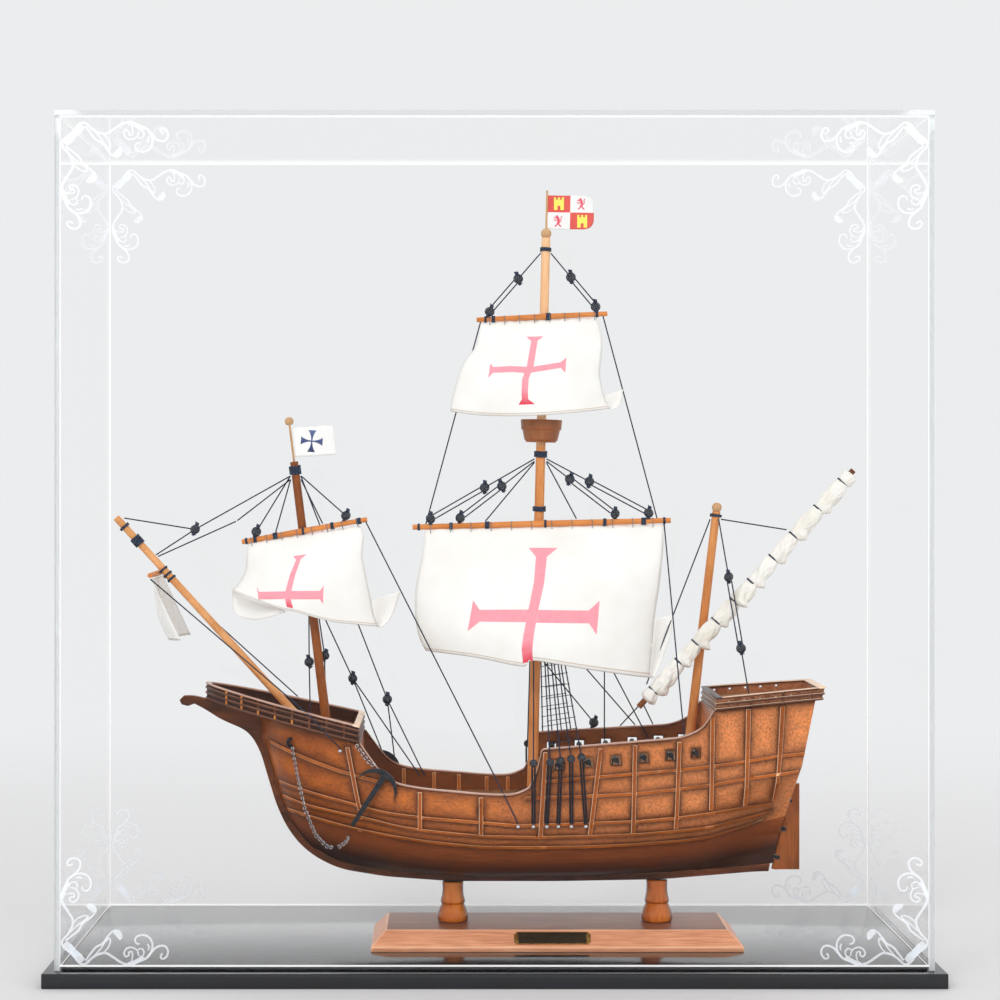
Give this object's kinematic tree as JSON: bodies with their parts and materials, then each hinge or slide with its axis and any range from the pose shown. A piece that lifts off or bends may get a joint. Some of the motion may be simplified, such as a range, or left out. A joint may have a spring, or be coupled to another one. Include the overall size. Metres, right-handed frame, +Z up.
{
  "type": "display case with ship model",
  "caption": "Clear box case that lifts off a black plinth, over a three-masted sailing ship model with square sails on a wooden stand.",
  "frame": {"origin": "centre of the plinth's underside", "axes": "+Z up, +X along the case towards the ship's stern, -Y towards the viewer at the front"},
  "size_m": [0.718, 0.318, 0.697],
  "materials": {
    "base_black": "gloss",
    "clear_acrylic": "clear, polished",
    "stand_wood": "satin varnish",
    "plate_brass": "brushed",
    "hull_wood": "satin varnish",
    "dark_wood": "satin varnish",
    "light_wood": "satin varnish",
    "spar_wood": "satin varnish",
    "black_iron": "satin",
    "nail_steel": "polished",
    "sail_cloth": "matte",
    "flag_red": "matte",
    "flag_white": "matte",
    "black_thread": "matte",
    "block_black": "matte"
  },
  "bodies": {
    "base": {"base_plate": "base_black", "locating_plate": "base_black", "stand_board": "stand_wood", "name_plate": "plate_brass", "name_plate_pins": "plate_brass", "pillars": "stand_wood", "hull_shell": "hull_wood", "keel_and_stem": "hull_wood", "waist_deck": "light_wood", "quarter_deck": "light_wood", "forecastle": "dark_wood", "forecastle_deck": "light_wood", "poop": "dark_wood", "poop_deck": "light_wood", "waist_rails": "light_wood", "forecastle_rail": "light_wood", "poop_rail": "light_wood", "castle_mouldings": "dark_wood", "castle_posts": "dark_wood", "wales": "light_wood", "ribs": "light_wood", "inner_frames": "light_wood", "cannons": "black_iron", "gudgeons": "black_iron", "main_mast": "spar_wood", "fore_mast": "spar_wood", "mizzen_mast": "spar_wood", "bowsprit": "spar_wood", "crows_nest": "dark_wood", "mast_trucks": "spar_wood", "flag_staffs": "spar_wood", "main_yard": "spar_wood", "top_yard": "spar_wood", "fore_yard": "spar_wood", "sprit_yard": "spar_wood", "lateen_yard": "spar_wood", "main_sail": "sail_cloth", "top_sail": "sail_cloth", "fore_sail": "sail_cloth", "sprit_sail": "sail_cloth", "lateen_furled": "sail_cloth", "main_flag": "flag_red", "fore_flag": "flag_white", "lashings": "black_thread", "blocks": "block_black", "deadeyes": "block_black", "lanyards": "black_thread", "hull_nails": "nail_steel", "shrouds": "black_thread", "ratlines": "black_thread", "running_rigging": "black_thread", "anchors": "black_iron", "anchor_cables": "black_iron"},
    "cover": {"panel_front": "clear_acrylic", "panel_back": "clear_acrylic", "panel_left": "clear_acrylic", "panel_right": "clear_acrylic", "panel_top": "clear_acrylic"},
    "rudder": {"rudder": "hull_wood", "rudder_pins": "black_iron"}
  },
  "joints": [
    {"name": "cover_lift", "type": "slide", "parent": "base", "child": "cover", "axis": [0, 0, 1], "range_m": [0, 0.66]},
    {"name": "rudder_turn", "type": "hinge", "parent": "base", "child": "rudder", "pos_m": [0.23793, -0.028, 0.07515], "axis": [0.2149, 0, 0.9766], "range_deg": [-30, 30]}
  ]
}
